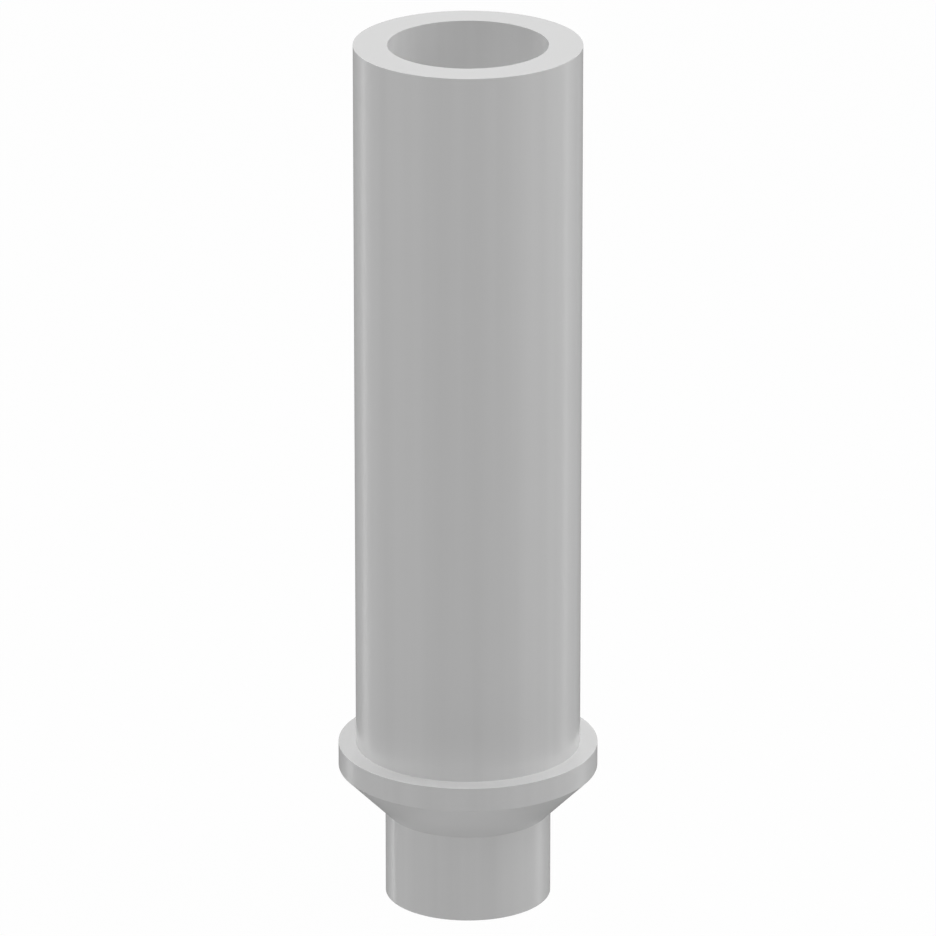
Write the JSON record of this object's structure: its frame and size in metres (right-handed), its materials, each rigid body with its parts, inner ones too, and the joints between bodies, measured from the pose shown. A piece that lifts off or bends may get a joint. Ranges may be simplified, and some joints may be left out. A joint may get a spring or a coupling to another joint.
{
  "type": "dental abutment",
  "caption": "Castable sleeve abutment: a thin open tube on a round band, a 45 degree cone and a round neck, with a screw seat inside.",
  "frame": {"origin": "centre of the neck's foot face, the end that enters the implant", "axes": "+Z along the sleeve's axis, from the neck towards the open end of the tube; the piece is turned, so X and Y are free"},
  "size_m": [0.0038, 0.0038, 0.013],
  "materials": {
    "burnout_plastic": "satin"
  },
  "bodies": {
    "root": {"abutment_sleeve": "burnout_plastic"}
  },
  "joints": []
}
